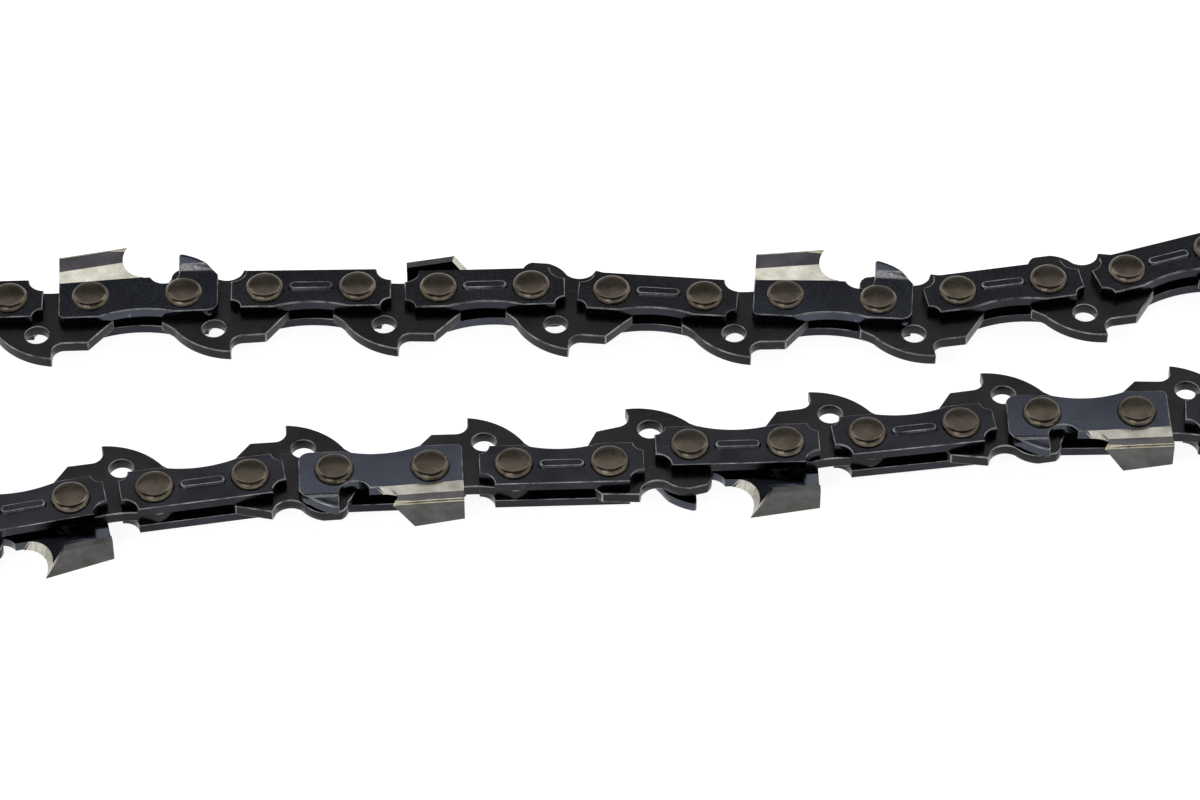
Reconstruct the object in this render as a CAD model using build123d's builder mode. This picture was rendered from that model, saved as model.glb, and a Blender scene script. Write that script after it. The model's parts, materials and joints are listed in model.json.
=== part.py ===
from build123d import *
import os
from math import cos, radians, sin, sqrt, tan

# A low-profile chainsaw chain, closed to a loop that lies on its side.
# Each link is drawn in its own frame: X along the travel, Y outwards to the cutters, Z across the chain,
# with the origin midway between the link's two rivets. Lengths in mm, angles in degrees.

# Chain
DRIVE_SPACING = 8.69
SIDE_SPACING = 9.95
LINK_COUNT = 56
GAUGE = 1.3
SIDE_PLAY = 0.05
PLATE_THICKNESS = 1.15
KERF_HALF_WIDTH = 2.9

# Rivets
FLANGE_RADIUS = 1.9
RUNNING_GAP = 0.05
HUB_RADIUS = 1.5
HUB_FIT = 0.01
HEAD_RADIUS = 2.1
HEAD_RIM = 0.28
HEAD_HEIGHT = 0.7

# Drive links
EAR_RADIUS = 2.65
SADDLE_HEIGHT = 1.9
SHOULDER_REACH = 2.45
SHOULDER_DROP = 2.5
SHELF_FRONT = 4.2
SHELF_BACK = 1.65
SHELF_DEPTH = 5.7
TANG_FRONT = 0.4
TANG_DEPTH = 8.0
TANG_BULGE = 0.85
HEEL_BACK = 1.25
HEEL_DEPTH = 4.1
HIP_REACH = 2.5
HIP_DEPTH = 3.0
OIL_HOLE_RADIUS = 1.25
OIL_HOLE_BACK = 1.3
OIL_HOLE_DEPTH = 4.4

# Bumper on every drive link that leads a cutter
BUMPER_HEIGHT = 4.85
BUMPER_FLANK = 3.5
BUMPER_BACK = 1.3
BUMPER_TOP_BACK = 0.4
BUMPER_TOP_FRONT = 1.4
BUMPER_BULGE = 0.25
DIP_HEIGHT = 2.8
DIP_BACK = 0.8
DIP_BACK_HEIGHT = 3.3
DIP_FRONT = 1.9
DIP_FRONT_HEIGHT = 3.5
SPUR_HEIGHT = 4.25
SPUR_BACK = 2.25
SPUR_TOE_HEIGHT = 3.1
SPUR_TOE_REACH = 1.7

# Tie straps
STRAP_END = 3.63
STRAP_HALF_WIDTH = 2.75
STRAP_TOP_NOTCH = 1.6
STRAP_BOTTOM_NOTCH = 1.1
STRAP_WAIST = 0.65
STRAP_WAIST_LENGTH = 8.0
RIB_LENGTH = 4.9
RIB_WIDTH = 1.4
RIB_HEIGHT = 0.28
RIB_SLOPE = 35
RIB_OFFSET = 0.2

# Cutters
CUTTER_REAR = 3.4
CUTTER_FRONT = 3.7
CUTTER_HEEL_DEPTH = 3.05
CUTTER_TOE_DEPTH = 2.66
CUTTER_WAIST_DEPTH = 2.14
CUTTER_WAIST_LENGTH = 8.0
CUTTER_TOE_RADIUS = 1.2
CUTTER_HEEL_RADIUS = 0.6
GULLET_HEIGHT = 2.05
GULLET_BACK = 3.1
GAUGE_HEIGHT = 5.75
GAUGE_BACK = 0.5
GAUGE_TIP_RADIUS = 0.3
GAUGE_NOSE_HEIGHT = 2.75
GAUGE_NOSE_BULGE = 0.5
GAUGE_CREASE_HEIGHT = 3.45
GAUGE_SLOPE_LENGTH = 0.75
GAUGE_SET = 0.4
TOOTH_FRONT = 3.98
TOOTH_REAR_HEIGHT = 5.55
TOOTH_FLARE_START = 2.15
TOOTH_FLARE_LENGTH = 1.6
TOOTH_FLARE_SET = 0.15
TOOTH_LEAN = 21
TOOTH_WALL = 1.0
TOOTH_TOP = 0.8
TOOTH_OVERHANG = 0.35
TOOTH_BEND_RADIUS = 0.3
CREASE_ANGLE = 3.5
RELIEF_ANGLE = 5.8
SIDE_RELIEF_ANGLE = 3.6
FILING_ANGLE = 30
FILE_RADIUS = 2.4
FILE_DROP = 1.2

# How the loop lies: each link, the link that lies the other way round to it, and the first one's heading.
# Drive links pair with drive links and side links with side links, so the loop closes at any spacing.
LIE = [
    (0, 40, -2), (2, 42, 1), (4, 32, -5), (6, 30, -9), (8, 28, -3), (10, 36, 5), (12, 44, 6),
    (14, 38, 12), (16, 34, 6), (18, 46, 26), (20, 48, -14), (22, 50, -80), (24, 52, -133), (26, 54, -173),
    (1, 41, -1), (3, 33, -3), (5, 39, -2), (7, 29, -9), (9, 31, -8), (11, 43, 6), (13, 27, 15),
    (15, 35, 4), (17, 47, 18), (19, 45, 9), (21, 49, -50), (23, 51, -107), (25, 53, -161), (55, 37, -2),
]

# The order of the links: a drive link, then a side link, in sets of eight.
# One left cutter is missing where the loop was joined, and the bumper there sits one drive link early.
BUMPER_PLACES = {2, 6}
RIGHT_CUTTER_PLACE = 1
LEFT_CUTTER_PLACE = 5
SET_LENGTH = 8
JOIN_BUMPER = 12
JOIN_TIE = 13
JOIN_PLAIN = 14

# Worked out from the sizes above
plate_inner = GAUGE / 2 + SIDE_PLAY
plate_outer = plate_inner + PLATE_THICKNESS
half_drive = DRIVE_SPACING / 2
half_side = SIDE_SPACING / 2
strap_half_length = half_side + STRAP_END
cutter_rear = -half_side - CUTTER_REAR
cutter_front = half_side + CUTTER_FRONT
tooth_front = TOOTH_FRONT - half_side
relief = tan(radians(RELIEF_ANGLE))
side_relief = tan(radians(SIDE_RELIEF_ANGLE))
corner_height = TOOTH_REAR_HEIGHT + (tooth_front - cutter_rear) * relief
file_height = corner_height - FILE_DROP
file_floor = file_height - FILE_RADIUS
file_reach = sqrt(FILE_RADIUS ** 2 - FILE_DROP ** 2) / cos(radians(FILING_ANGLE))
file_front = tooth_front + file_reach


def drive_link(top_edge):
    """A flat drive link: ears, tang, rivet holes and oil hole, under the given top edge."""
    rear_side = (-half_drive - EAR_RADIUS, 0)
    front_side = (half_drive + EAR_RADIUS, 0)
    shoulder = (half_drive + SHOULDER_REACH, -SHOULDER_DROP)
    shelf_front = (SHELF_FRONT, -SHELF_DEPTH)
    shelf_back = (SHELF_BACK, -SHELF_DEPTH)
    hook_radius = SHELF_BACK - TANG_FRONT
    hook_end = (TANG_FRONT, -SHELF_DEPTH - hook_radius)
    tip = (TANG_FRONT, -TANG_DEPTH)
    heel = (-half_drive - HEEL_BACK, -HEEL_DEPTH)
    hip = (-half_drive - HIP_REACH, -HIP_DEPTH)
    with BuildPart() as link:
        with BuildSketch(Plane.XY.offset(-GAUGE / 2)):
            with BuildLine():
                top_edge(rear_side, front_side)
                Polyline(front_side, shoulder, shelf_front, shelf_back)
                RadiusArc(shelf_back, hook_end, -hook_radius)
                Line(hook_end, tip)
                SagittaArc(tip, heel, TANG_BULGE)
                Polyline(heel, hip, rear_side)
            make_face()
            with Locations((-half_drive, 0), (half_drive, 0)):
                Circle(FLANGE_RADIUS + RUNNING_GAP, mode=Mode.SUBTRACT)
            with Locations((-OIL_HOLE_BACK, -OIL_HOLE_DEPTH)):
                Circle(OIL_HOLE_RADIUS, mode=Mode.SUBTRACT)
        extrude(amount=GAUGE)
    return link.part


def plain_top(rear_side, front_side):
    """Two round ears with a shallow saddle between them."""
    rear_crown = (-half_drive, EAR_RADIUS)
    front_crown = (half_drive, EAR_RADIUS)
    RadiusArc(rear_side, rear_crown, EAR_RADIUS)
    ThreePointArc(rear_crown, (0, SADDLE_HEIGHT), front_crown)
    RadiusArc(front_crown, front_side, EAR_RADIUS)


def bumper_top(rear_side, front_side):
    """A rounded hump over the rear ear, a dip, and a pointed spur that slopes to the front ear."""
    flank = (-half_drive - BUMPER_BACK, BUMPER_FLANK)
    hump_rear = (-half_drive - BUMPER_TOP_BACK, BUMPER_HEIGHT)
    hump_front = (-half_drive + BUMPER_TOP_FRONT, BUMPER_HEIGHT)
    dip_back = (-DIP_BACK, DIP_BACK_HEIGHT)
    dip_low = ((DIP_FRONT - DIP_BACK) / 2, DIP_HEIGHT)
    dip_front = (DIP_FRONT, DIP_FRONT_HEIGHT)
    spur = (SPUR_BACK, SPUR_HEIGHT)
    toe = (half_drive + SPUR_TOE_REACH, SPUR_TOE_HEIGHT)
    SagittaArc(rear_side, flank, BUMPER_BULGE)
    SagittaArc(flank, hump_rear, BUMPER_BULGE)
    Line(hump_rear, hump_front)
    SagittaArc(hump_front, dip_back, BUMPER_BULGE)
    ThreePointArc(dip_back, dip_low, dip_front)
    Polyline(dip_front, spur, toe)
    SagittaArc(toe, front_side, BUMPER_BULGE)


def tie_strap():
    """A side plate with notched corners, a waisted lower edge and a raised rib on its outer face."""
    waist_radius = STRAP_WAIST_LENGTH ** 2 / (8 * STRAP_WAIST) + STRAP_WAIST / 2
    with BuildPart() as strap:
        with BuildSketch(Plane.XY.offset(plate_inner)):
            Rectangle(2 * strap_half_length, 2 * STRAP_HALF_WIDTH)
            with Locations((-strap_half_length, STRAP_HALF_WIDTH), (strap_half_length, STRAP_HALF_WIDTH)):
                Circle(STRAP_TOP_NOTCH, mode=Mode.SUBTRACT)
            with Locations((-strap_half_length, -STRAP_HALF_WIDTH), (strap_half_length, -STRAP_HALF_WIDTH)):
                Circle(STRAP_BOTTOM_NOTCH, mode=Mode.SUBTRACT)
            with Locations((0, STRAP_WAIST - STRAP_HALF_WIDTH - waist_radius)):
                Circle(waist_radius, mode=Mode.SUBTRACT)
            with Locations((-half_side, 0), (half_side, 0)):
                Circle(HUB_RADIUS + HUB_FIT, mode=Mode.SUBTRACT)
        extrude(amount=PLATE_THICKNESS)
        with BuildSketch(Plane.XY.offset(plate_outer)):
            with Locations((0, RIB_OFFSET)):
                SlotOverall(RIB_LENGTH, RIB_WIDTH)
        extrude(amount=RIB_HEIGHT, taper=RIB_SLOPE)
    return strap.part


def cutter_outline():
    """Draws the outline of a cutter's plate, with the depth gauge laid flat and the tooth left off."""
    crease_front = TOOTH_FLARE_START + (file_front - cutter_rear) * tan(radians(CREASE_ANGLE))
    gullet = (half_side - GULLET_BACK, GULLET_HEIGHT)
    gauge_foot = (half_side - GAUGE_BACK, GAUGE_CREASE_HEIGHT)
    gauge_tip = (half_side - GAUGE_BACK, GAUGE_HEIGHT)
    gauge_nose = (cutter_front, GAUGE_NOSE_HEIGHT)
    waist_front = (CUTTER_WAIST_LENGTH / 2, -CUTTER_TOE_DEPTH)
    waist_rear = (-CUTTER_WAIST_LENGTH / 2, -CUTTER_HEEL_DEPTH)
    Polyline((cutter_rear, TOOTH_FLARE_START), (file_front, crease_front), (file_front, file_floor))
    ThreePointArc((file_front, file_floor), gullet, gauge_foot)
    Line(gauge_foot, gauge_tip)
    SagittaArc(gauge_tip, gauge_nose, GAUGE_NOSE_BULGE)
    Polyline(gauge_nose, (cutter_front, -CUTTER_TOE_DEPTH), waist_front)
    ThreePointArc(waist_front, (0, -CUTTER_WAIST_DEPTH), waist_rear)
    Polyline(waist_rear, (cutter_rear, -CUTTER_HEEL_DEPTH), (cutter_rear, TOOTH_FLARE_START))


def round_outline():
    """Rounds the toe, the heel and the gauge's tip of a cutter's outline."""
    fillet(vertices().group_by(Axis.X)[-1].sort_by(Axis.Y)[0], CUTTER_TOE_RADIUS)
    fillet(vertices().group_by(Axis.X)[0].sort_by(Axis.Y)[0], CUTTER_HEEL_RADIUS)
    fillet(vertices().sort_by(Axis.Y)[-1], GAUGE_TIP_RADIUS)


def depth_gauge():
    """The gauge above its crease, set outwards by a short slope and then parallel to the plate again."""
    slope_end = GAUGE_CREASE_HEIGHT + GAUGE_SLOPE_LENGTH
    above_tip = GAUGE_HEIGHT + GAUGE_SET
    with BuildPart() as gauge:
        with BuildSketch(Plane.YZ):
            Polygon(
                (GAUGE_CREASE_HEIGHT, plate_inner),
                (slope_end, plate_inner + GAUGE_SET),
                (above_tip, plate_inner + GAUGE_SET),
                (above_tip, plate_outer + GAUGE_SET),
                (slope_end, plate_outer + GAUGE_SET),
                (GAUGE_CREASE_HEIGHT, plate_outer),
                align=None,
            )
        extrude(amount=cutter_front)
        with BuildSketch(Plane.XY):
            with BuildLine():
                cutter_outline()
            make_face()
            round_outline()
        extrude(amount=plate_outer + GAUGE_SET, mode=Mode.INTERSECT)
    return gauge.part


def tooth_section(forward):
    """Draws the bent tooth's section this far in front of its rear end: flare, leaning wall and top plate."""
    lean = tan(radians(TOOTH_LEAN))
    root = TOOTH_FLARE_START - PLATE_THICKNESS
    crease = TOOTH_FLARE_START + forward * tan(radians(CREASE_ANGLE))
    flare_end = TOOTH_FLARE_START + TOOTH_FLARE_LENGTH + forward * relief
    flare_out = plate_outer + TOOTH_FLARE_SET + forward * side_relief
    top = TOOTH_REAR_HEIGHT + forward * relief
    underside = top - TOOTH_TOP
    free_edge = -TOOTH_OVERHANG - forward * side_relief
    Polygon(
        (root, plate_inner),
        (crease, plate_inner),
        (flare_end, flare_out - TOOTH_WALL),
        (underside, flare_out - TOOTH_WALL + (underside - flare_end) * lean),
        (underside, free_edge),
        (top, free_edge),
        (top, flare_out + (top - flare_end) * lean),
        (flare_end, flare_out),
        (crease, plate_outer),
        (root, plate_outer),
        align=None,
    )
    fillet(vertices().sort_by(Axis.Y)[-1], TOOTH_BEND_RADIUS)


def cutter():
    """A side plate with a bent tooth behind, a filed gullet, and a depth gauge in front."""
    filing = radians(FILING_ANGLE)
    file_plane = Plane(
        origin=(file_front, file_height, KERF_HALF_WIDTH),
        x_dir=(cos(filing), 0, -sin(filing)),
        z_dir=(sin(filing), 0, cos(filing)),
    )
    gauge = depth_gauge()
    with BuildPart() as blade:
        with BuildSketch(Plane.XY.offset(plate_inner)):
            with BuildLine():
                cutter_outline()
            make_face()
            round_outline()
            with Locations((cutter_front, GAUGE_CREASE_HEIGHT)):
                Rectangle(2 * CUTTER_FRONT + 2 * GAUGE_BACK, 2 * GAUGE_HEIGHT, align=(Align.CENTER, Align.MIN),
                          mode=Mode.SUBTRACT)
            with Locations((-half_side, 0), (half_side, 0)):
                Circle(HUB_RADIUS + HUB_FIT, mode=Mode.SUBTRACT)
        extrude(amount=PLATE_THICKNESS)
        add(gauge)
        for forward in (0, file_front - cutter_rear):
            with BuildSketch(Plane(origin=(cutter_rear + forward, 0, 0), x_dir=(0, 1, 0), z_dir=(1, 0, 0))):
                tooth_section(forward)
        loft(ruled=True)
        with BuildSketch(file_plane):
            Circle(FILE_RADIUS)
            with Locations((FILE_RADIUS / 2, 0)):
                Rectangle(FILE_RADIUS, 2 * FILE_RADIUS)
        extrude(amount=4 * KERF_HALF_WIDTH, both=True, mode=Mode.SUBTRACT)
        split(bisect_by=Plane.XY.offset(KERF_HALF_WIDTH), keep=Keep.BOTTOM)
    return blade.part


def rivet():
    """A stepped pin: a wide flange the drive link turns on, a hub in each plate, and two domed heads."""
    rim = plate_outer + HEAD_RIM
    crown = plate_outer + HEAD_HEIGHT
    dome_radius = (HEAD_RADIUS ** 2 + (crown - rim) ** 2) / (2 * (crown - rim))
    half_way = HEAD_RADIUS / 2
    half_way_up = crown - dome_radius + sqrt(dome_radius ** 2 - half_way ** 2)
    with BuildPart() as pin:
        with BuildSketch(Plane.XZ):
            with BuildLine():
                Polyline(
                    (0, 0),
                    (FLANGE_RADIUS, 0),
                    (FLANGE_RADIUS, plate_inner),
                    (HUB_RADIUS, plate_inner),
                    (HUB_RADIUS, plate_outer),
                    (HEAD_RADIUS, plate_outer),
                    (HEAD_RADIUS, rim),
                )
                ThreePointArc((HEAD_RADIUS, rim), (half_way, half_way_up), (0, crown))
                Line((0, crown), (0, 0))
            make_face()
        revolve(axis=Axis.Z)
        mirror(about=Plane.XY)
    return pin.part


def link_kind(number):
    """The kind of the link at this place in the chain."""
    place = number % SET_LENGTH
    if number == JOIN_BUMPER:
        return "bumper_link"
    if number == JOIN_PLAIN:
        return "drive_link"
    if number == JOIN_TIE:
        return "tie_link"
    if place in BUMPER_PLACES:
        return "bumper_link"
    if place % 2 == 0:
        return "drive_link"
    if place == RIGHT_CUTTER_PLACE:
        return "right_cutter_link"
    if place == LEFT_CUTTER_PLACE:
        return "left_cutter_link"
    return "tie_link"


def named(shape, label):
    """The shape under a name of its own."""
    shape.label = label
    return shape


# One of each piece
plain_drive = drive_link(plain_top)
bumper_drive = drive_link(bumper_top)
right_strap = tie_strap()
left_strap = mirror(right_strap, about=Plane.XY)
right_cutter = cutter()
left_cutter = mirror(right_cutter, about=Plane.XY)
pin = rivet()
pieces = {
    "drive_link": [(plain_drive, "plate")],
    "bumper_link": [(bumper_drive, "plate")],
    "tie_link": [(right_strap, "right_strap"), (left_strap, "left_strap")],
    "right_cutter_link": [(right_cutter, "right_cutter"), (left_strap, "left_strap")],
    "left_cutter_link": [(right_strap, "right_strap"), (left_cutter, "left_cutter")],
}

# Where each link lies, from rivet to rivet round the loop
heading = {}
for link, opposite, angle in LIE:
    heading[link] = angle
    heading[opposite] = angle + 180
rivets = [Vector(0, 0, KERF_HALF_WIDTH)]
for number in range(LINK_COUNT):
    spacing = DRIVE_SPACING if number % 2 == 0 else SIDE_SPACING
    turn = radians(heading[number])
    rivets.append(rivets[-1] + Vector(cos(turn), sin(turn), 0) * spacing)

# The pieces of each link, in their places
links = {}
for number in range(LINK_COUNT):
    kind = link_kind(number)
    middle = Location((rivets[number] + rivets[number + 1]) / 2, (0, 0, heading[number]))
    placed = [(piece.moved(middle), label) for piece, label in pieces[kind]]
    if number % 2 == 1:
        placed.append((pin.moved(Location(rivets[number])), "rear_rivet"))
        placed.append((pin.moved(Location(rivets[number + 1])), "front_rivet"))
    links[f"{kind}_{number:02d}"] = placed

# The origin is on the floor, under the middle of the loop
box = Compound([piece for placed in links.values() for piece, label in placed]).bounding_box()
to_origin = Location((-box.center().X, -box.center().Y, -box.min.Z))
os.makedirs("parts", exist_ok=True)
for name, placed in links.items():
    solids = [named(piece.moved(to_origin).solid(), label) for piece, label in placed]
    export_step(Compound(label=name, children=solids), f"parts/{name}.step")
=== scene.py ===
# %% [markdown]
# # A chainsaw chain loop
# A saw chain is four kinds of plate and one kind of pin, repeated. Drive links run in the groove of the bar,
# pairs of side plates join them, and nearly every second pair carries a tooth.
# The sizes are fixed by the loaded frame, so this lesson is about finish: soft edges, blued steel, bare
# teeth and spun rivet heads. Everything is in metres, and each piece moves with the link it belongs to.

# %% Load the fixed frame
import json
import math

import bpy
from mathutils import Matrix, Vector


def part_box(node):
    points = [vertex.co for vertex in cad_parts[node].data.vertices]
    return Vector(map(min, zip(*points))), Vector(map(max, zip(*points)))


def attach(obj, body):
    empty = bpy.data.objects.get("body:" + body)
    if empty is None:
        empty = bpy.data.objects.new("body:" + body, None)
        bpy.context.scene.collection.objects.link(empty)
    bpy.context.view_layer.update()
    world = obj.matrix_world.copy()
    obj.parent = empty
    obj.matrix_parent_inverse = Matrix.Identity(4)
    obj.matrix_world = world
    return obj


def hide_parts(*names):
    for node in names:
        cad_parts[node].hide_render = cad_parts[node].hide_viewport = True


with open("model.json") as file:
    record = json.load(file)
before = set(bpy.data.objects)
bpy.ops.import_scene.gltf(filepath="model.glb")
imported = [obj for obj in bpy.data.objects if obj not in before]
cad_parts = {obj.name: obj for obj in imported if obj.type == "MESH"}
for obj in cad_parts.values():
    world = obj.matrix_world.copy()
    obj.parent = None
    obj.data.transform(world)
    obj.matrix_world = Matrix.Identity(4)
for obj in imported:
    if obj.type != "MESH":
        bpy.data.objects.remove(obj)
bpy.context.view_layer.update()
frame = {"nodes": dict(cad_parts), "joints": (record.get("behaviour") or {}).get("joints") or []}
MM = 0.001
nodes = frame["nodes"]

# %% [markdown]
# ## Where each link lies
# Every rivet but one is a hinge in the frame, so the hinges give the rivet centres round the loop. The last
# is left open, because bodies form a tree. Its centre is read from the crown of that tie link's own rivet,
# the highest point of the node. A link's place is then the middle of its two rivets, turned to its heading.

# %% Read the rivet centres and the places of the links
link_number = {name: int(name[-2:]) for name in nodes}
link_count = len(nodes)
rivet_centre = {int(joint["name"][-2:]): Vector(joint["pos_m"]) for joint in frame["joints"]}
open_rivet = next(number for number in range(link_count) if number not in rivet_centre)
open_link = next(name for name in nodes if link_number[name] == open_rivet)
MID_HEIGHT = rivet_centre[0].z
CROWN_DEPTH = 0.01 * MM
crown_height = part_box(open_link)[1].z
crowns = [v.co.copy() for v in nodes[open_link].data.vertices if v.co.z > crown_height - CROWN_DEPTH]
crown = max(crowns, key=lambda point: (point.xy - rivet_centre[open_rivet + 1].xy).length)
rivet_centre[open_rivet] = Vector((crown.x, crown.y, MID_HEIGHT))


def link_place(number):
    """The matrix from a link's own frame, X along its travel, to its place in the loop."""
    rear = rivet_centre[number]
    front = rivet_centre[(number + 1) % link_count]
    turn = math.atan2(front.y - rear.y, front.x - rear.x)
    return Matrix.Translation((rear + front) / 2) @ Matrix.Rotation(turn, 4, "Z")


half_drive = (rivet_centre[1] - rivet_centre[0]).length / 2
half_side = (rivet_centre[2] - rivet_centre[1]).length / 2
spacings = [round(2 * half / MM, 2) for half in (half_drive, half_side)]
print("open rivet:", open_rivet, "spacings in mm:", spacings)

# %% [markdown]
# ## Camera
# The chain was photographed from the side of the loop, looking down at it with a long lens, so the two runs
# cross the picture and both turns are outside it. The camera aims at a point measured from the first rivet.

# %% Set the camera
ELEVATION = math.radians(46)
AZIMUTH = math.radians(-4)
DISTANCE = 540 * MM
LENS, SENSOR_WIDTH = 152.4, 36
AIM_FROM_RIVET = Vector((62.37, -14.88, 0)) * MM
aim = Vector((rivet_centre[0].x, rivet_centre[0].y, 0)) + AIM_FROM_RIVET
back = Vector((
    math.sin(AZIMUTH) * math.cos(ELEVATION),
    -math.cos(AZIMUTH) * math.cos(ELEVATION),
    math.sin(ELEVATION),
))
bpy.ops.object.select_all(action="DESELECT")
bpy.ops.object.camera_add(location=aim + back * DISTANCE, rotation=back.to_track_quat("Z", "Y").to_euler())
camera = bpy.context.object
camera.data.sensor_width = SENSOR_WIDTH
camera.data.lens = LENS
camera.data.clip_start = 10 * MM
bpy.context.scene.camera = camera
bpy.context.scene.view_settings.view_transform = "Standard"
print("camera at", [round(x, 3) for x in camera.location])

# %% [markdown]
# ## Floor, light and sky
# The chain lay on a white sweep under soft boxes, and the picture around it is plain white. The floor is one
# large plane that glows white for the camera and for reflections, and still takes a soft shadow. The sky is
# white at the horizon and dim above it, as a studio is, so that polished steel has something dark to mirror.
# What a flat plate mirrors decides whether it looks black or grey: the soft box hangs so low behind the chain
# that the near run's plates see its far edge, and the far run's plates look past it into the dark.

# %% Lay the floor
FLOOR_SIZE = 6.0
FLOOR_GLOW = 0.88
bpy.ops.object.select_all(action="DESELECT")
bpy.ops.mesh.primitive_plane_add(size=FLOOR_SIZE, location=(0, 0, 0))
floor = bpy.context.object
floor.name = "floor"


def add_node(tree, kind, **values):
    """A shader node with the given input values, named as its sockets are with _ for a space."""
    node = tree.nodes.new(kind)
    for name, value in values.items():
        node.inputs[name.replace("_", " ")].default_value = value
    return node


def seen_directly(tree):
    """A value that is 1 for rays from the camera, a mirror or a lens, and 0 for soft light."""
    path = add_node(tree, "ShaderNodeLightPath")
    total = path.outputs["Is Camera Ray"]
    for name in ("Is Glossy Ray", "Is Transmission Ray"):
        either = add_node(tree, "ShaderNodeMath")
        either.operation = "MAXIMUM"
        tree.links.new(total, either.inputs[0])
        tree.links.new(path.outputs[name], either.inputs[1])
        total = either.outputs[0]
    return total


def new_material(name):
    """An empty node material and its output node."""
    material = bpy.data.materials.new(name)
    material.use_nodes = True
    material.node_tree.nodes.clear()
    return material, material.node_tree, add_node(material.node_tree, "ShaderNodeOutputMaterial")


floor_material, tree, output = new_material("white_sweep")
paper = add_node(tree, "ShaderNodeBsdfDiffuse", Color=(0.5, 0.5, 0.5, 1))
glow = add_node(tree, "ShaderNodeEmission", Color=(1, 1, 1, 1))
strength = add_node(tree, "ShaderNodeMath")
strength.operation = "MULTIPLY"
strength.inputs[1].default_value = FLOOR_GLOW
both = add_node(tree, "ShaderNodeAddShader")
tree.links.new(seen_directly(tree), strength.inputs[0])
tree.links.new(strength.outputs[0], glow.inputs["Strength"])
tree.links.new(paper.outputs[0], both.inputs[0])
tree.links.new(glow.outputs[0], both.inputs[1])
tree.links.new(both.outputs[0], output.inputs["Surface"])
floor.data.materials.append(floor_material)
print("floor:", FLOOR_SIZE, "m wide")

# %% Hang the soft boxes and the sky
SOFT_BOXES = {
    "overhead_box": {"place": (0.0, 0.2125, 0.40), "turn": 0, "width": 0.9, "depth": 0.325, "power": 1.15},
    "front_box": {"place": (-0.45, -0.75, 0.55), "turn": 58, "width": 0.6, "depth": 0.6, "power": 1.2},
}
for name, box in SOFT_BOXES.items():
    place = aim + Vector(box["place"])
    facing = (math.radians(box["turn"]), 0, 0)
    bpy.ops.object.light_add(type="AREA", location=place, rotation=facing)
    lamp = bpy.context.object
    lamp.name = name
    lamp.visible_camera = False
    lamp.data.shape = "RECTANGLE"
    lamp.data.size = box["width"]
    lamp.data.size_y = box["depth"]
    lamp.data.energy = box["power"]

SKY_STEPS = [(0.0, 0.95), (0.50, 0.85), (0.64, 0.30), (0.70, 0.08), (1.0, 0.14)]
world = bpy.data.worlds.new("studio")
bpy.context.scene.world = world
world.use_nodes = True
tree = world.node_tree
tree.nodes.clear()
output = add_node(tree, "ShaderNodeOutputWorld")
direction = add_node(tree, "ShaderNodeTexCoord")
height = add_node(tree, "ShaderNodeSeparateXYZ")
sky = add_node(tree, "ShaderNodeValToRGB")
while len(sky.color_ramp.elements) < len(SKY_STEPS):
    sky.color_ramp.elements.new(0.5)
for element, (rise, level) in zip(sky.color_ramp.elements, SKY_STEPS):
    element.position = rise
    element.color = (level, level, level, 1)
path = add_node(tree, "ShaderNodeLightPath")
backdrop = add_node(tree, "ShaderNodeMix")
backdrop.data_type = "RGBA"
backdrop.inputs["B"].default_value = (1, 1, 1, 1)
background = add_node(tree, "ShaderNodeBackground", Strength=1.0)
tree.links.new(direction.outputs["Generated"], height.inputs[0])
tree.links.new(height.outputs["Z"], sky.inputs["Fac"])
tree.links.new(path.outputs["Is Camera Ray"], backdrop.inputs["Factor"])
tree.links.new(sky.outputs["Color"], backdrop.inputs["A"])
tree.links.new(backdrop.outputs["Result"], background.inputs["Color"])
tree.links.new(background.outputs[0], output.inputs["Surface"])
print("lamps:", len(SOFT_BOXES))

# %% [markdown]
# ## Shader groups for worn steel
# All the finishes share three effects, so each is a node group that is built once: slow clouds of colour
# and gloss from the oil and the blueing, fine scratches from handling, and the lines that a grinding wheel
# leaves. A group gives out only what changes over the surface. The shader itself stays in each material.

# %% Build the shader groups
def new_group(name, inputs, outputs):
    """An empty node group with its named sockets, and its input and output nodes."""
    group = bpy.data.node_groups.new(name, "ShaderNodeTree")
    for socket, kind, value in inputs:
        made = group.interface.new_socket(socket, in_out="INPUT", socket_type=kind)
        if value is not None:
            made.default_value = value
    for socket, kind in outputs:
        group.interface.new_socket(socket, in_out="OUTPUT", socket_type=kind)
    return group, add_node(group, "NodeGroupInput"), add_node(group, "NodeGroupOutput")


def mix_colours(tree, factor, first, second):
    """The output of a node that mixes two colour sockets or plain colours by a factor socket."""
    mix = add_node(tree, "ShaderNodeMix")
    mix.data_type = "RGBA"
    tree.links.new(factor, mix.inputs["Factor"])
    for side, colour in (("A", first), ("B", second)):
        socket = [s for s in mix.inputs if s.name == side and s.type == "RGBA"][0]
        if isinstance(colour, tuple):
            socket.default_value = (*colour, 1)
        else:
            tree.links.new(colour, socket)
    return [s for s in mix.outputs if s.type == "RGBA"][0]


def spread(tree, value, low, high, to_low, to_high):
    """The output of a node that maps a value from one range to another."""
    ramp = add_node(tree, "ShaderNodeMapRange", From_Min=low, From_Max=high, To_Min=to_low, To_Max=to_high)
    tree.links.new(value, ramp.inputs["Value"])
    return ramp.outputs["Result"]


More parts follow.
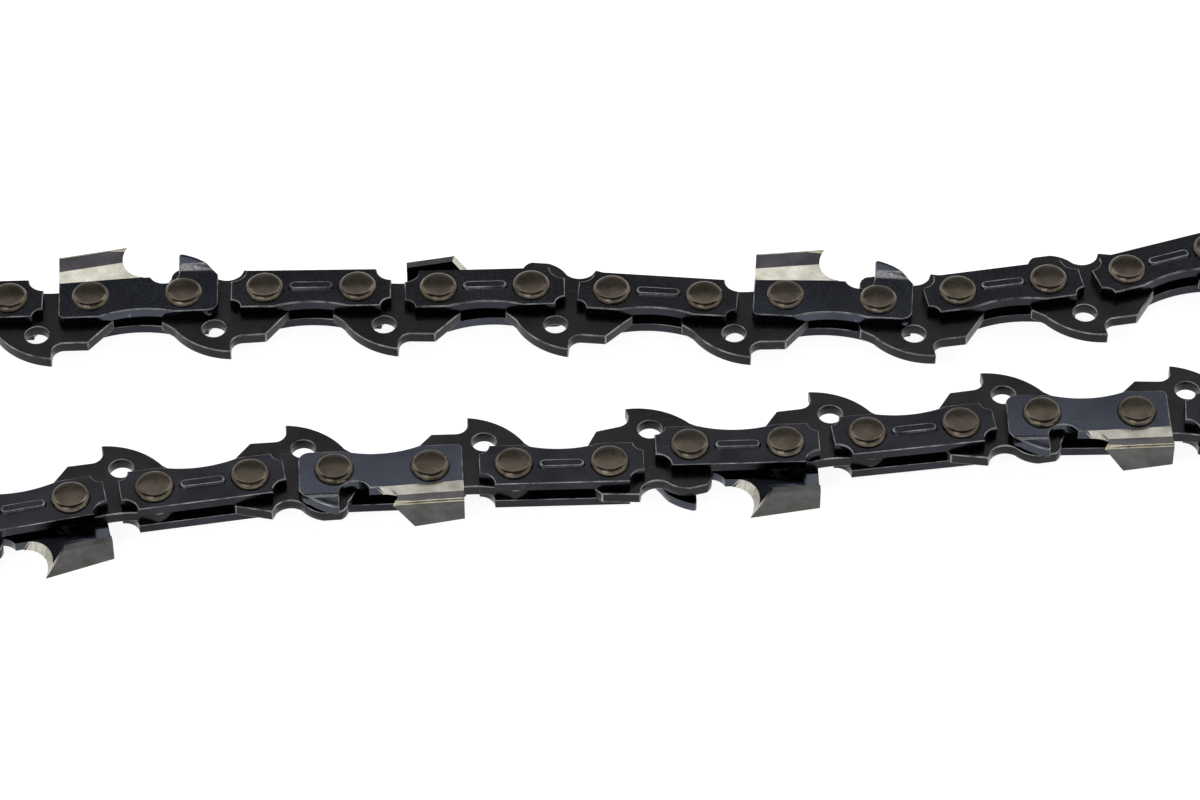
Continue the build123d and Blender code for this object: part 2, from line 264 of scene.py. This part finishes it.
def steel_clouds():
    """Slow patches and fine grain, each from 0 to 1."""
    group, given, result = new_group(
        "steel_clouds",
        [("Place", "NodeSocketVector", None), ("Patch Scale", "NodeSocketFloat", 220.0)],
        [("Patches", "NodeSocketFloat"), ("Grain", "NodeSocketFloat")],
    )
    patches = add_node(group, "ShaderNodeTexNoise", Detail=3.0, Roughness=0.55)
    grain = add_node(group, "ShaderNodeTexNoise", Scale=5200.0, Detail=2.0)
    group.links.new(given.outputs["Place"], patches.inputs["Vector"])
    group.links.new(given.outputs["Patch Scale"], patches.inputs["Scale"])
    group.links.new(given.outputs["Place"], grain.inputs["Vector"])
    group.links.new(spread(group, patches.outputs["Fac"], 0.32, 0.68, 0.0, 1.0), result.inputs["Patches"])
    group.links.new(grain.outputs["Fac"], result.inputs["Grain"])
    return group


def fine_scratches():
    """Thin broken lines across a plate, from 0 to 1."""
    group, given, result = new_group(
        "fine_scratches",
        [("Place", "NodeSocketVector", None), ("Turn", "NodeSocketVector", (0.0, 0.0, 0.6))],
        [("Scratches", "NodeSocketFloat")],
    )
    turn = add_node(group, "ShaderNodeMapping", Scale=(420.0, 9000.0, 420.0))
    lines = add_node(group, "ShaderNodeTexNoise", Scale=1.0, Detail=1.0)
    holes = add_node(group, "ShaderNodeTexNoise", Scale=380.0, Detail=1.0)
    kept = add_node(group, "ShaderNodeMath")
    kept.operation = "MULTIPLY"
    group.links.new(given.outputs["Place"], turn.inputs["Vector"])
    group.links.new(given.outputs["Turn"], turn.inputs["Rotation"])
    group.links.new(turn.outputs["Vector"], lines.inputs["Vector"])
    group.links.new(given.outputs["Place"], holes.inputs["Vector"])
    group.links.new(spread(group, lines.outputs["Fac"], 0.70, 0.80, 0.0, 1.0), kept.inputs[0])
    group.links.new(spread(group, holes.outputs["Fac"], 0.52, 0.62, 0.0, 1.0), kept.inputs[1])
    group.links.new(kept.outputs[0], result.inputs["Scratches"])
    return group


def grinding_lines():
    """Close parallel lines of uneven strength along the piece's own Z, from 0 to 1."""
    group, given, result = new_group(
        "grinding_lines",
        [("Place", "NodeSocketVector", None), ("Stretch", "NodeSocketVector", (4200.0, 4200.0, 260.0))],
        [("Lines", "NodeSocketFloat")],
    )
    pull = add_node(group, "ShaderNodeMapping")
    lines = add_node(group, "ShaderNodeTexNoise", Scale=1.0, Detail=3.0, Roughness=0.6)
    group.links.new(given.outputs["Place"], pull.inputs["Vector"])
    group.links.new(given.outputs["Stretch"], pull.inputs["Scale"])
    group.links.new(pull.outputs["Vector"], lines.inputs["Vector"])
    group.links.new(spread(group, lines.outputs["Fac"], 0.3, 0.7, 0.0, 1.0), result.inputs["Lines"])
    return group


CLOUDS = steel_clouds()
SCRATCHES = fine_scratches()
GRINDING = grinding_lines()
print("shader groups:", [group.name for group in (CLOUDS, SCRATCHES, GRINDING)])

# %% [markdown]
# ## The finishes
# The plates are blued: a thin dark oxide over metal, so the shader is metallic with a very dark colour.
# Teeth, rivet heads and filed faces are bare. Each finish is the same short recipe with its own colours:
# two tones mixed by the patches, gloss that varies with the grain, a touch of grain as bump, and marks on top.

# %% Make the steel finishes
def group_node(tree, group, place, **values):
    """A node of a shader group, fed with a place."""
    node = tree.nodes.new("ShaderNodeGroup")
    node.node_tree = group
    tree.links.new(place, node.inputs["Place"])
    for name, value in values.items():
        node.inputs[name.replace("_", " ")].default_value = value
    return node


GRAIN_RANGE = (0.3, 0.7)
GRAIN_HEIGHT = 0.04 * MM


def steel(name, dark, light, gloss, mark_colour, grain_depth, marks="scratches", patch_scale=220.0):
    """A steel finish: two tones in patches, gloss as (smoothest, roughest), and marks of their own colour."""
    material, tree, output = new_material(name)
    shader = add_node(tree, "ShaderNodeBsdfPrincipled", Metallic=1.0)
    place = add_node(tree, "ShaderNodeTexCoord").outputs["Object"]
    own_place = add_node(tree, "ShaderNodeAttribute")
    own_place.attribute_name = "bench_place"
    clouds = group_node(tree, CLOUDS, place, Patch_Scale=patch_scale)
    tone = mix_colours(tree, clouds.outputs["Patches"], dark, light)
    if marks == "scratches":
        mark = group_node(tree, SCRATCHES, place).outputs["Scratches"]
    else:
        mark = group_node(tree, GRINDING, own_place.outputs["Vector"]).outputs["Lines"]
    tree.links.new(mix_colours(tree, mark, tone, mark_colour), shader.inputs["Base Color"])
    tree.links.new(spread(tree, clouds.outputs["Grain"], *GRAIN_RANGE, *gloss), shader.inputs["Roughness"])
    bump = add_node(tree, "ShaderNodeBump", Strength=grain_depth, Distance=GRAIN_HEIGHT)
    tree.links.new(clouds.outputs["Grain"] if marks == "scratches" else mark, bump.inputs["Height"])
    tree.links.new(bump.outputs["Normal"], shader.inputs["Normal"])
    tree.links.new(shader.outputs[0], output.inputs["Surface"])
    print("finish:", name)
    return material


# %% Blue the plates, and give their edges a paler worn finish that is partly a painted highlight
blued_plate = steel(
    "blued_plate", dark=(0.022, 0.022, 0.026), light=(0.036, 0.037, 0.045), gloss=(0.16, 0.30),
    mark_colour=(0.11, 0.11, 0.12), grain_depth=0.06)
blued_cutter = steel(
    "blued_cutter", dark=(0.046, 0.050, 0.064), light=(0.060, 0.067, 0.086), gloss=(0.11, 0.19),
    mark_colour=(0.14, 0.14, 0.16), grain_depth=0.05)
blued_drive = steel(
    "blued_drive", dark=(0.022, 0.020, 0.021), light=(0.034, 0.032, 0.034), gloss=(0.22, 0.36),
    mark_colour=(0.09, 0.09, 0.09), grain_depth=0.08)
# A paler finish for bevel faces: partly edge wear, partly a painted highlight along the edges.
worn_edge_and_highlight = steel(
    "worn_edge_and_highlight", dark=(0.06, 0.06, 0.065), light=(0.30, 0.30, 0.31), gloss=(0.22, 0.36),
    mark_colour=(0.42, 0.42, 0.43), grain_depth=0.04, patch_scale=700.0)
# The gauge's sloping faces: grinding streaks as marks, and a paler tone as a painted sheen.
streaked_band_painted_sheen = steel(
    "streaked_band_painted_sheen", dark=(0.055, 0.056, 0.060), light=(0.150, 0.150, 0.155), gloss=(0.26, 0.40),
    mark_colour=(0.30, 0.30, 0.31), grain_depth=0.25, marks="grinding", patch_scale=900.0)

# %% Leave the rivets and the teeth bare
rivet_steel = steel(
    "rivet_steel", dark=(0.052, 0.043, 0.033), light=(0.088, 0.074, 0.059), gloss=(0.14, 0.24),
    mark_colour=(0.17, 0.15, 0.12), grain_depth=0.02, patch_scale=500.0)
# The rivet shoulder: glossier steel, and its lighter colour and pale marks a painted highlight.
rivet_rim_painted_highlight = steel(
    "rivet_rim_painted_highlight", dark=(0.070, 0.058, 0.044), light=(0.165, 0.142, 0.110), gloss=(0.10, 0.18),
    mark_colour=(0.42, 0.38, 0.31), grain_depth=0.03, patch_scale=700.0)
# The tooth's wall: a darker tone of the tooth steel, a painted shade.
wall_painted_shade = steel(
    "wall_painted_shade", dark=(0.070, 0.066, 0.074), light=(0.098, 0.093, 0.102), gloss=(0.20, 0.30),
    mark_colour=(0.18, 0.18, 0.18), grain_depth=0.06, patch_scale=500.0)
# The tooth's flare: a light tone of the tooth steel, a painted reflection of the soft box.
flare_painted_reflection = steel(
    "flare_painted_reflection", dark=(0.42, 0.40, 0.335), light=(0.62, 0.60, 0.53), gloss=(0.20, 0.32),
    mark_colour=(0.72, 0.70, 0.63), grain_depth=0.10, patch_scale=600.0)
# The tooth's top: a darker tone of the tooth steel, a painted shade.
top_painted_shade = steel(
    "top_painted_shade", dark=(0.062, 0.061, 0.058), light=(0.105, 0.104, 0.100), gloss=(0.24, 0.38),
    mark_colour=(0.15, 0.15, 0.14), grain_depth=0.10, patch_scale=500.0)
# The tooth's bend: a light tone of the tooth steel, a painted highlight.
bend_painted_highlight = steel(
    "bend_painted_highlight", dark=(0.36, 0.33, 0.25), light=(0.58, 0.55, 0.44), gloss=(0.24, 0.36),
    mark_colour=(0.70, 0.67, 0.56), grain_depth=0.10, patch_scale=700.0)
filed_steel = steel(
    "filed_steel", dark=(0.30, 0.29, 0.25), light=(0.46, 0.44, 0.38), gloss=(0.24, 0.36),
    mark_colour=(0.60, 0.57, 0.50), grain_depth=0.30, marks="grinding", patch_scale=500.0)

# %% [markdown]
# ## The bench
# Each kind of plate is finished once, in its link's own frame, as on a bench, and then copied round the loop.
# The frame's nodes are loose triangles, so a copy is welded, its flat triangles are joined to whole faces,
# and it is split into the separate plates that lie in one node. Each keeps its bench place as an attribute,
# so that grinding lines follow the piece however the link is turned.

# %% Helpers for working on one piece
WELD = 0.001 * MM
FLAT = math.radians(0.5)
ROUND = math.radians(32)
SAME_LEVEL = 0.01


def only(piece):
    """Makes one object the selected and active one."""
    bpy.ops.object.select_all(action="DESELECT")
    piece.select_set(True)
    bpy.context.view_layer.objects.active = piece


def on_bench(name):
    """The separate plates and pins of one CAD node, welded, in the link's own frame."""
    mesh = nodes[name].data.copy()
    mesh.transform(link_place(link_number[name]).inverted())
    copy = bpy.data.objects.new("bench", mesh)
    bpy.context.scene.collection.objects.link(copy)
    only(copy)
    bpy.ops.mesh.customdata_custom_splitnormals_clear()
    bpy.ops.object.mode_set(mode="EDIT")
    bpy.ops.mesh.select_all(action="SELECT")
    bpy.ops.mesh.remove_doubles(threshold=WELD)
    bpy.ops.mesh.dissolve_limited(angle_limit=FLAT)
    bpy.ops.mesh.separate(type="LOOSE")
    bpy.ops.object.mode_set(mode="OBJECT")
    return list(bpy.context.selected_objects)


def reach(piece, axis):
    """The lowest and highest place of a bench piece along an axis, in mm."""
    places = [v.co[axis] / MM for v in piece.data.vertices]
    return min(places), max(places)


def finish(piece, name, finishes):
    """Names a bench piece and gives it its finishes in slot order."""
    piece.name = name
    piece.data.name = name
    piece.data.materials.clear()
    for material in finishes:
        piece.data.materials.append(material)
    for face in piece.data.polygons:
        face.material_index = 0


def choose_edges(piece, wanted, sharper_than):
    """Selects the edges that turn by more than an angle and are wanted by their ends, and opens the piece.

    Points and faces are cleared as well, because a face that stays selected selects all its edges again."""
    only(piece)
    bpy.ops.object.mode_set(mode="EDIT")
    bpy.ops.mesh.select_mode(type="EDGE")
    bpy.ops.mesh.select_all(action="DESELECT")
    bpy.ops.mesh.edges_select_sharp(sharpness=math.radians(sharper_than))
    bpy.ops.object.mode_set(mode="OBJECT")
    points = piece.data.vertices
    for part in (*points, *piece.data.polygons):
        part.select = False
    for edge in piece.data.edges:
        ends = [points[i].co / MM for i in edge.vertices]
        if edge.select and not wanted(ends[0], ends[1]):
            edge.select = False
    count = sum(edge.select for edge in piece.data.edges)
    bpy.ops.object.mode_set(mode="EDIT")
    return count


def choose_faces(piece, wanted):
    """Selects only the wanted faces of a piece and opens it for editing."""
    only(piece)
    bpy.ops.object.mode_set(mode="EDIT")
    bpy.ops.mesh.select_mode(type="FACE")
    bpy.ops.mesh.select_all(action="DESELECT")
    bpy.ops.object.mode_set(mode="OBJECT")
    for face in piece.data.polygons:
        face.select = wanted(face)
    bpy.ops.object.mode_set(mode="EDIT")


def soften(piece, width, steps, wanted=lambda a, b: True, sharper_than=30.0, worn_and_highlight_slot=1):
    """Rounds the chosen edges of a bench piece, with the paler worn finish on the new faces: partly edge wear,
    partly a painted highlight.
    """
    count = choose_edges(piece, wanted, sharper_than)
    bpy.ops.mesh.bevel(offset=width * MM, segments=steps, profile=0.5, affect="EDGES",
                       clamp_overlap=True, material=worn_and_highlight_slot)
    bpy.ops.object.mode_set(mode="OBJECT")
    return count


def weld(piece, distance):
    """Joins the points of a piece that lie closer together than a distance in mm."""
    only(piece)
    bpy.ops.object.mode_set(mode="EDIT")
    bpy.ops.mesh.select_all(action="SELECT")
    bpy.ops.mesh.remove_doubles(threshold=distance * MM)
    bpy.ops.object.mode_set(mode="OBJECT")


def keep_place(piece, flat_plate=True):
    """Stores each point's bench place on the mesh and smooths round faces. A plate's broad faces stay flat."""
    store = piece.data.attributes.new("bench_place", "FLOAT_VECTOR", "POINT")
    for entry, point in zip(store.data, piece.data.vertices):
        entry.vector = point.co
    only(piece)
    bpy.ops.object.shade_smooth_by_angle(angle=ROUND)
    if flat_plate:
        bpy.ops.object.modifier_add(type="WEIGHTED_NORMAL")
        piece.modifiers[-1].keep_sharp = True
        bpy.ops.object.modifier_apply(modifier=piece.modifiers[-1].name)


# %% [markdown]
# ## Drive links
# A drive link is stamped from flat strip. Its tang and hook are coined, which leaves a narrow chamfer
# all round the outline, finished paler: partly wear, partly a painted highlight. The CAD plate already has
# the true outline, so it is kept and its edges are rounded.

# %% Finish the two kinds of drive link
DRIVE_EDGE = 0.11
patterns = {}
for kind in ("drive_link", "bumper_link"):
    source = next(name for name in nodes if name.startswith(kind))
    plate = on_bench(source)[0]
    finish(plate, kind + "_plate", [blued_drive, worn_edge_and_highlight])
    softened = soften(plate, DRIVE_EDGE, 2)
    keep_place(plate)
    patterns[kind] = {"plate": plate}
    print(kind, "edges softened:", softened, "faces:", len(plate.data.polygons))

# %% [markdown]
# ## Tie straps
# A tie strap is a heavier stamping, with a rounded outer edge where the punch drew the metal in, and a raised
# rib between its rivets. The inner edges stay sharp, so only the outer ones get the wide rounding. The rims
# of the rivet holes lie under the heads, and their short edges would hold the rounding back, so they are
# left out.

# %% Finish the tie straps
STRAP_EDGE = 0.13
RIB_EDGE = 0.14
INNER_EDGE = 0.06
HOLE_REACH = 1.8
RIB_REACH = (2.6, 0.99)


def on_outline(point):
    """Is a point of a strap's outer face clear of the rivet holes and of the rib?"""
    from_hole = math.hypot(abs(point.x) - half_side / MM, point.y)
    return from_hole > HOLE_REACH and (abs(point.x) > RIB_REACH[0] or abs(point.y) > RIB_REACH[1])


def at_level(level, test=lambda point: True):
    """A test for edges with both ends at a height above or below the middle of the chain, in mm."""
    return lambda a, b: all(abs(abs(point.z) - level) < SAME_LEVEL and test(point) for point in (a, b))


strap_source = next(name for name in nodes if name.startswith("tie_link"))
strap_parts = on_bench(strap_source)
pins = [part for part in strap_parts if reach(part, 2)[0] < 0 < reach(part, 2)[1]]
straps = [part for part in strap_parts if part not in pins]
for strap in straps:
    side = "right_strap" if reach(strap, 2)[1] > 0 else "left_strap"
    heights = sorted({round(abs(v.co.z) / MM, 3) for v in strap.data.vertices})
    inner, outer, rib = heights[0], heights[1], heights[-1]
    finish(strap, side, [blued_plate, worn_edge_and_highlight])
    soften(strap, STRAP_EDGE, 3, at_level(outer, on_outline))
    soften(strap, RIB_EDGE, 2, at_level(rib))
    soften(strap, INNER_EDGE, 1, at_level(inner))
    keep_place(strap)
    patterns.setdefault("tie_link", {})[side] = strap
    print(side, "heights in mm:", heights, "faces:", len(strap.data.polygons))

# %% [markdown]
# ## Cutters
# A cutter is a side plate whose rear half is bent out and over to a tooth. The outside of the tooth is bright
# and hard, the hollow in front of it is filed, and the rest is blued like the straps. The CAD node has the
# form, so the work here is choosing faces: each is given its finish by the way it points and where it lies.
# So the tooth's outside is lighter on the flare and the bend, as painted reflection and highlight, and
# darker on the top and the wall, as painted shade.
# Where the depth gauge is bent out, its sloping outer faces get a paler, streaked band: the streaks are marks,
# and the paler tone is a painted sheen.

# %% Choose the finish of each face of a cutter
BLUED, WORN_AND_HIGHLIGHT, WALL, FLARE, TOP, BEND, FILED, BAND = range(8)
# In slot order. The flare and bend finishes are painted reflection and highlight, the wall and top finishes
# painted shade.
CUTTER_FINISHES = [
    blued_cutter, worn_edge_and_highlight, wall_painted_shade, flare_painted_reflection, top_painted_shade, bend_painted_highlight, filed_steel, streaked_band_painted_sheen]
TOOTH_FRONT = 0.25
HOLLOW_FLOOR, HOLLOW_TOP, HOLLOW_BACK = 2.55, 4.0, -1.2
GAUGE_BACK = 4.4
CREASE_REAR, CREASE_RISE = 2.15, math.tan(math.radians(3.5))
FLARE_REAR, TOP_RISE = 3.75, math.tan(math.radians(5.8))
LEVEL, LEANING, TURNED, SLIGHT = 0.97, 0.6, 0.3, 0.1  # how far a face's normal points along an axis
BAND_TURN = 0.2
UNDERSIDE = -0.9


def cutter_finish(normal, centre, rear):
    """The slot of a cutter's face, with the normal and the centre turned to the right-hand cutter. The tooth's
    outside is split by face direction into painted reflection, painted highlight and painted shade.
    """
    crease = CREASE_REAR + (centre.x - rear) * CREASE_RISE
    flare_end = FLARE_REAR + (centre.x - rear) * TOP_RISE
    # Sloping outer faces of the depth gauge take the paler band, a painted sheen.
    if centre.x > GAUGE_BACK and BAND_TURN < normal.z < LEVEL and centre.z > outer:
        return BAND
    if centre.x > TOOTH_FRONT:
        return BLUED
    in_hollow = centre.x > HOLLOW_BACK and centre.y < HOLLOW_TOP and normal.y > LEANING
    if centre.y > HOLLOW_FLOOR and (normal.x > TURNED or in_hollow):
        return FILED
    if centre.y < crease:
        return BLUED
    # Faces are sorted by the way they point: flare and bend get painted reflection and highlight, wall and top
    # get painted shade.
    if normal.z > LEANING and centre.y < flare_end:
        return FLARE
    if normal.z > LEANING and normal.y < -SLIGHT:
        return WALL
    if normal.y > LEVEL or normal.z < UNDERSIDE and centre.z < 0:
        return TOP
    if normal.z > SLIGHT:
        return BEND
    return BLUED


# %% Finish the cutters
CUTTER_EDGE = 0.12
CUTTER_WELD = 0.08
GAUGE_BEND, GAUGE_ANGLE = 0.30, 15.0
STRAP_REACH = 4.0


def across_gauge(up):
    """A test for the bend lines outside on the depth gauge, with up as 1 or -1 for the cutter's side."""
    def test(a, b):
        on_gauge = min(a.x, b.x) > GAUGE_BACK and min(a.z * up, b.z * up) > outer - SAME_LEVEL
        return on_gauge and abs(a.y - b.y) < SAME_LEVEL
    return test


def outside(up):
    """A test for the outline of the cutter's outer face, the gauge's tip among it."""
    def on_face(point):
        on_gauge = point.x > GAUGE_BACK and point.z * up > outer
        return abs(point.z * up - outer) < SAME_LEVEL or on_gauge
    return lambda a, b: on_face(a) and on_face(b)


for kind in ("right_cutter_link", "left_cutter_link"):
    side = kind.removesuffix("_link")
    source = next(name for name in nodes if name.startswith(kind))
    up = 1 if side.startswith("right") else -1
    cutter_parts = on_bench(source)
    cutter = next(part for part in cutter_parts if max(map(abs, reach(part, 1))) > STRAP_REACH)
    for part in cutter_parts:
        if part is not cutter:
            bpy.data.objects.remove(part)
    rear = reach(cutter, 0)[0]
    finish(cutter, side, CUTTER_FINISHES)
    for face in cutter.data.polygons:
        normal = Vector((face.normal.x, face.normal.y, face.normal.z * up))
        centre = Vector((face.center.x, face.center.y, face.center.z * up)) / MM
        face.material_index = cutter_finish(normal, centre, rear)
    bends = soften(cutter, GAUGE_BEND, 3, across_gauge(up), sharper_than=GAUGE_ANGLE, worn_and_highlight_slot=BLUED)
    weld(cutter, CUTTER_WELD)
    softened = soften(cutter, CUTTER_EDGE, 2, outside(up))
    soften(cutter, INNER_EDGE, 1, at_level(inner))
    keep_place(cutter)
    patterns[kind] = {side: cutter}
    print(side, "gauge bends:", bends, "edges softened:", softened, "faces:", len(cutter.data.polygons))
patterns["right_cutter_link"]["left_strap"] = patterns["tie_link"]["left_strap"]
patterns["left_cutter_link"]["right_strap"] = patterns["tie_link"]["right_strap"]

# %% [markdown]
# ## Rivets
# A rivet is a stepped pin. Its wide middle is what the drive link turns on, a thinner hub fills the hole of
# each plate, and the ends are spun down to low heads with a nearly flat face and a round shoulder. The
# shoulder is glossier, and its lighter colour is a painted highlight. It starts as a cylinder of the middle's
# size. Each end is then inset, pushed out and scaled step by step, which is how one would pull it up by hand.

# %% Model one rivet
RIVET_SIDES = 40
HEAD_PROFILE = [  # share of the head's radius, share of its height
    (1.00, 0.06), (0.99, 0.17), (0.975, 0.30), (0.955, 0.43), (0.93, 0.55), (0.90, 0.66), (0.868, 0.75),
    (0.835, 0.82), (0.80, 0.875), (0.765, 0.91), (0.60, 0.945), (0.40, 0.975), (0.20, 0.993), (0.06, 1.00),
]
FACE_SLOPE = 0.97
pin = pins[0]
pin_middle = Vector((sum(reach(pin, 0)) / 2, sum(reach(pin, 1)) / 2))
pin_radius = {}
for v in pin.data.vertices:
    height = round(abs(v.co.z) / MM, 3)
    radius = (Vector((v.co.x, v.co.y)) / MM - pin_middle).length
    pin_radius.setdefault(height, []).append(radius)
flange_radius = max(pin_radius[inner])
hub_radius = min(pin_radius[outer])
head_radius = max(pin_radius[outer])
head_top = max(pin_radius)

bpy.ops.object.select_all(action="DESELECT")
bpy.ops.mesh.primitive_cylinder_add(
    vertices=RIVET_SIDES, radius=flange_radius * MM, depth=2 * inner * MM, end_fill_type="NGON")
rivet = bpy.context.object


def draw_out(end, height, radius, was):
    """Extrudes the selected end face of the rivet to a height and scales it to a radius, both in mm."""
    bpy.ops.mesh.extrude_region_move(TRANSFORM_OT_translate={"value": (0, 0, end * height * MM)})
    bpy.ops.transform.resize(value=(radius / was, radius / was, 1), center_override=(0, 0, 0))


for end in (1, -1):
    choose_faces(rivet, lambda face: face.normal.z * end > LEVEL and face.center.z * end > 0)
    draw_out(end, 0, hub_radius, flange_radius)
    draw_out(end, outer - inner, hub_radius, hub_radius)
    draw_out(end, 0, head_radius, hub_radius)
    radius, height = head_radius, 0.0
    for radius_share, height_share in HEAD_PROFILE:
        new_radius, new_height = head_radius * radius_share, (head_top - outer) * height_share
        draw_out(end, new_height - height, new_radius, radius)
        radius, height = new_radius, new_height
    bpy.ops.object.mode_set(mode="OBJECT")
finish(rivet, "rivet", [rivet_steel, rivet_rim_painted_highlight])
for face in rivet.data.polygons:
    on_head = abs(face.center.z) / MM > outer
    # Head faces that slope away from flat take the lighter rim finish, a painted highlight.
    face.material_index = 1 if on_head and abs(face.normal.z) < FACE_SLOPE else 0
keep_place(rivet, flat_plate=False)
rings = sorted({(round(v.co.z / MM, 2), round(v.co.xy.length / MM, 2)) for v in rivet.data.vertices})
print("rivet rings:", len(rings), "lowest", rings[0], "highest", rings[-1])
radii = [round(size, 2) for size in (flange_radius, hub_radius, head_radius)]
print("rivet radii in mm:", radii, "top", head_top)

# %% [markdown]
# ## Assembling the loop
# Every bench piece is now copied, with a mesh of its own, to each link that has one. A copy's place goes into
# its mesh, it rides on its link's body, and it stands for the link's plain CAD node.


def fit(pattern, name, place, link):
    """Sets a copy of a bench piece in its place in the loop, riding on its link."""
    piece = pattern.copy()
    piece.data = pattern.data.copy()
    piece.name = name
    piece.data.name = name
    bpy.context.scene.collection.objects.link(piece)
    piece.data.transform(place)
    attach(piece, link)
    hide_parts(link)


made = 0
for link, number in sorted(link_number.items(), key=lambda item: item[1]):
    kind = link[:-3]
    for part_name, pattern in patterns[kind].items():
        name = f"{kind}_plate_{number:02d}" if part_name == "plate" else f"{part_name}_{number:02d}"
        fit(pattern, name, link_place(number), link)
        made += 1
    if number % 2:
        for pivot in (number, (number + 1) % link_count):
            fit(rivet, f"rivet_{pivot:02d}", Matrix.Translation(rivet_centre[pivot]), link)
            made += 1
bench_pieces = {part for parts in patterns.values() for part in parts.values()} | {rivet, *pins}
for part in bench_pieces:
    bpy.data.objects.remove(part)
print("pieces placed:", made)
